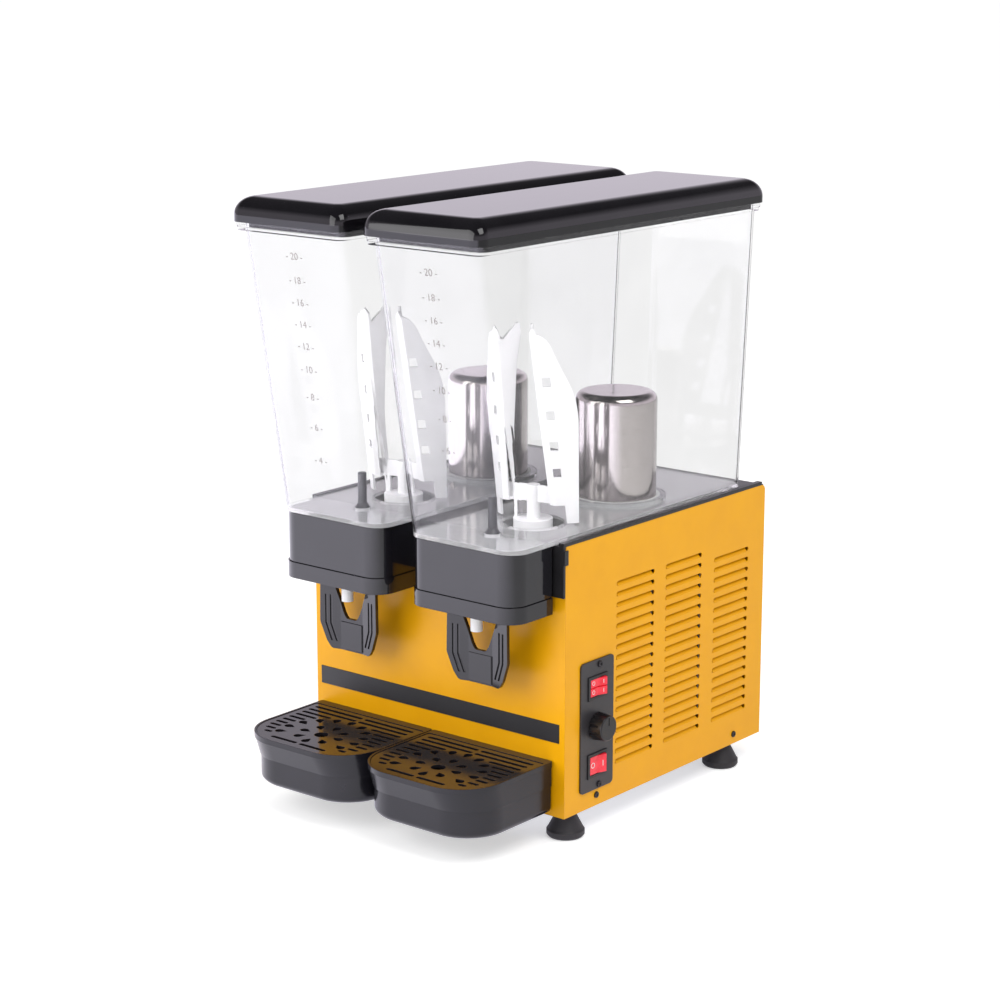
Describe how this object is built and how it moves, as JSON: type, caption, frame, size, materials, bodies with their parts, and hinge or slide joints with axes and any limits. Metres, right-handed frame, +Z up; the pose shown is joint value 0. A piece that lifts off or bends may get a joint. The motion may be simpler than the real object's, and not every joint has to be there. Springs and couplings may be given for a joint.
{
  "type": "twin tank drink dispenser",
  "caption": "Counter-top cold drink dispenser: clear lidded tanks with stirring paddles on a louvred cabinet, push-lever taps over drip trays.",
  "frame": {"origin": "middle of the footprint, on the ground under the feet", "axes": "+X to the right seen from the front, +Y to the back, +Z up"},
  "size_m": [0.381, 0.523, 0.6846],
  "materials": {
    "yellow_paint": "gloss powder coat",
    "deck_black": "satin moulded",
    "lid_black": "high gloss",
    "tap_black": "semi gloss",
    "tray_black": "satin moulded",
    "clear_tank": "clear, polished",
    "white_plastic": "satin moulded",
    "rubber_black": "matt",
    "seal_grey": "matt silicone",
    "steel": "brushed",
    "zinc_steel": "zinc plated",
    "band_black": "matt foil",
    "plate_grey": "satin",
    "switch_black": "satin",
    "rocker_red": "translucent",
    "knob_black": "satin",
    "compressor_black": "satin enamel",
    "fin_aluminium": "plain",
    "copper": "drawn tube",
    "motor_grey": "cast",
    "fan_black": "satin",
    "bronze": "sintered",
    "plunger_dark": "satin"
  },
  "bodies": {
    "cabinet": {"base_pan": "zinc_steel", "front_panel": "yellow_paint", "side_panel_left": "yellow_paint", "side_panel_right": "yellow_paint", "rear_panel": "yellow_paint", "top_deck": "deck_black", "front_strip": "band_black", "case_screws": "zinc_steel", "control_plate": "plate_grey", "switch_frames": "switch_black", "thermostat_body": "switch_black", "power_inlet": "switch_black", "compressor": "compressor_black", "compressor_grommets": "rubber_black", "condenser": "fin_aluminium", "fan_shroud": "fan_black", "fan_motor": "motor_grey", "filter_drier": "copper", "refrigerant_pipes": "copper", "evaporator_domes": "steel", "cooling_jackets": "fin_aluminium", "gearmotors": "motor_grey", "shaft_bushes": "bronze", "motor_shelf": "zinc_steel", "tray_brackets": "steel"},
    "foot_front_left": {"foot_front_left": "rubber_black"},
    "foot_front_right": {"foot_front_right": "rubber_black"},
    "foot_rear_left": {"foot_rear_left": "rubber_black"},
    "foot_rear_right": {"foot_rear_right": "rubber_black"},
    "fan": {"fan_blades": "fan_black"},
    "main_rocker": {"main_rocker": "rocker_red"},
    "mixer_rocker_upper": {"mixer_rocker_upper": "rocker_red"},
    "mixer_rocker_lower": {"mixer_rocker_lower": "rocker_red"},
    "thermostat_knob": {"thermostat_knob": "knob_black"},
    "drive_shaft_left": {"drive_shaft_left": "steel"},
    "tank_left": {"tank_left": "clear_tank", "tank_seals_left": "seal_grey", "tap_cover_left": "tap_black", "tap_cover_band_left": "tap_black", "tap_body_left": "white_plastic"},
    "lid_left": {"lid_left": "lid_black"},
    "paddle_left": {"paddle_left": "white_plastic"},
    "tap_lever_left": {"tap_lever_left": "tap_black"},
    "tap_plunger_left": {"tap_plunger_left": "plunger_dark", "tap_spring_left": "steel"},
    "drip_tray_left": {"drip_tray_left": "tray_black"},
    "drip_grille_left": {"drip_grille_left": "tray_black"},
    "drive_shaft_right": {"drive_shaft_right": "steel"},
    "tank_right": {"tank_right": "clear_tank", "tank_seals_right": "seal_grey", "tap_cover_right": "tap_black", "tap_cover_band_right": "tap_black", "tap_body_right": "white_plastic"},
    "lid_right": {"lid_right": "lid_black"},
    "paddle_right": {"paddle_right": "white_plastic"},
    "tap_lever_right": {"tap_lever_right": "tap_black"},
    "tap_plunger_right": {"tap_plunger_right": "plunger_dark", "tap_spring_right": "steel"},
    "drip_tray_right": {"drip_tray_right": "tray_black"},
    "drip_grille_right": {"drip_grille_right": "tray_black"}
  },
  "joints": [
    {"name": "front_left_foot_screw", "type": "slide", "parent": "cabinet", "child": "foot_front_left", "axis": [0, 0, -1], "range_m": [0, 0.008]},
    {"name": "front_right_foot_screw", "type": "slide", "parent": "cabinet", "child": "foot_front_right", "axis": [0, 0, -1], "range_m": [0, 0.008]},
    {"name": "rear_left_foot_screw", "type": "slide", "parent": "cabinet", "child": "foot_rear_left", "axis": [0, 0, -1], "range_m": [0, 0.008]},
    {"name": "rear_right_foot_screw", "type": "slide", "parent": "cabinet", "child": "foot_rear_right", "axis": [0, 0, -1], "range_m": [0, 0.008]},
    {"name": "fan_spin", "type": "hinge", "parent": "cabinet", "child": "fan", "pos_m": [0.1145, 0.0935, 0.149], "axis": [1, 0, 0], "continuous": true},
    {"name": "main_rocker_tilt", "type": "hinge", "parent": "cabinet", "child": "main_rocker", "pos_m": [0.172, -0.0635, 0.0775], "axis": [0, 0, 1], "range_deg": [0, 20]},
    {"name": "mixer_rocker_upper_tilt", "type": "hinge", "parent": "cabinet", "child": "mixer_rocker_upper", "pos_m": [0.172, -0.0635, 0.1706], "axis": [0, 0, 1], "range_deg": [0, 20]},
    {"name": "mixer_rocker_lower_tilt", "type": "hinge", "parent": "cabinet", "child": "mixer_rocker_lower", "pos_m": [0.172, -0.0635, 0.1604], "axis": [0, 0, 1], "range_deg": [0, 20]},
    {"name": "thermostat_turn", "type": "hinge", "parent": "cabinet", "child": "thermostat_knob", "pos_m": [0.1905, -0.0635, 0.121], "axis": [1, 0, 0], "range_deg": [0, 300]},
    {"name": "drive_shaft_spin_left", "type": "hinge", "parent": "cabinet", "child": "drive_shaft_left", "pos_m": [-0.1005, -0.064, 0.3354], "axis": [0, 0, 1], "continuous": true},
    {"name": "tank_lift_left", "type": "slide", "parent": "cabinet", "child": "tank_left", "axis": [0, 0, 1], "range_m": [0, 0.14]},
    {"name": "lid_lift_left", "type": "slide", "parent": "tank_left", "child": "lid_left", "axis": [0, 0, 1], "range_m": [0, 0.06]},
    {"name": "paddle_spin_left", "type": "hinge", "parent": "tank_left", "child": "paddle_left", "pos_m": [-0.1005, -0.064, 0.3354], "axis": [0, 0, 1], "continuous": true},
    {"name": "lever_push_left", "type": "hinge", "parent": "tank_left", "child": "tap_lever_left", "pos_m": [-0.1005, -0.1495, 0.2744], "axis": [1, 0, 0], "range_deg": [0, 15], "stiffness_Nm_per_rad": 1, "springref_deg": -11.46},
    {"name": "plunger_lift_left", "type": "slide", "parent": "tank_left", "child": "tap_plunger_left", "axis": [0, 0, 1], "range_m": [0, 0.0054], "deforming": ["tap_spring_left"]},
    {"name": "tray_lift_left", "type": "slide", "parent": "cabinet", "child": "drip_tray_left", "axis": [0, 0, 1], "range_m": [0, 0.034]},
    {"name": "grille_lift_left", "type": "slide", "parent": "drip_tray_left", "child": "drip_grille_left", "axis": [0, 0, 1], "range_m": [0, 0.025]},
    {"name": "drive_shaft_spin_right", "type": "hinge", "parent": "cabinet", "child": "drive_shaft_right", "pos_m": [0.0855, -0.064, 0.3354], "axis": [0, 0, 1], "continuous": true},
    {"name": "tank_lift_right", "type": "slide", "parent": "cabinet", "child": "tank_right", "axis": [0, 0, 1], "range_m": [0, 0.14]},
    {"name": "lid_lift_right", "type": "slide", "parent": "tank_right", "child": "lid_right", "axis": [0, 0, 1], "range_m": [0, 0.06]},
    {"name": "paddle_spin_right", "type": "hinge", "parent": "tank_right", "child": "paddle_right", "pos_m": [0.0855, -0.064, 0.3354], "axis": [0, 0, 1], "continuous": true},
    {"name": "lever_push_right", "type": "hinge", "parent": "tank_right", "child": "tap_lever_right", "pos_m": [0.0855, -0.1495, 0.2744], "axis": [1, 0, 0], "range_deg": [0, 15], "stiffness_Nm_per_rad": 1, "springref_deg": -11.46},
    {"name": "plunger_lift_right", "type": "slide", "parent": "tank_right", "child": "tap_plunger_right", "axis": [0, 0, 1], "range_m": [0, 0.0054], "deforming": ["tap_spring_right"]},
    {"name": "tray_lift_right", "type": "slide", "parent": "cabinet", "child": "drip_tray_right", "axis": [0, 0, 1], "range_m": [0, 0.034]},
    {"name": "grille_lift_right", "type": "slide", "parent": "drip_tray_right", "child": "drip_grille_right", "axis": [0, 0, 1], "range_m": [0, 0.025]}
  ],
  "couplings": [
    {"joint": "drive_shaft_spin_left", "follows": "paddle_spin_left", "ratio": 1},
    {"joint": "plunger_lift_left", "follows": "lever_push_left", "m_per_rad": 0.020245},
    {"joint": "drive_shaft_spin_right", "follows": "paddle_spin_right", "ratio": 1},
    {"joint": "plunger_lift_right", "follows": "lever_push_right", "m_per_rad": 0.020245}
  ]
}
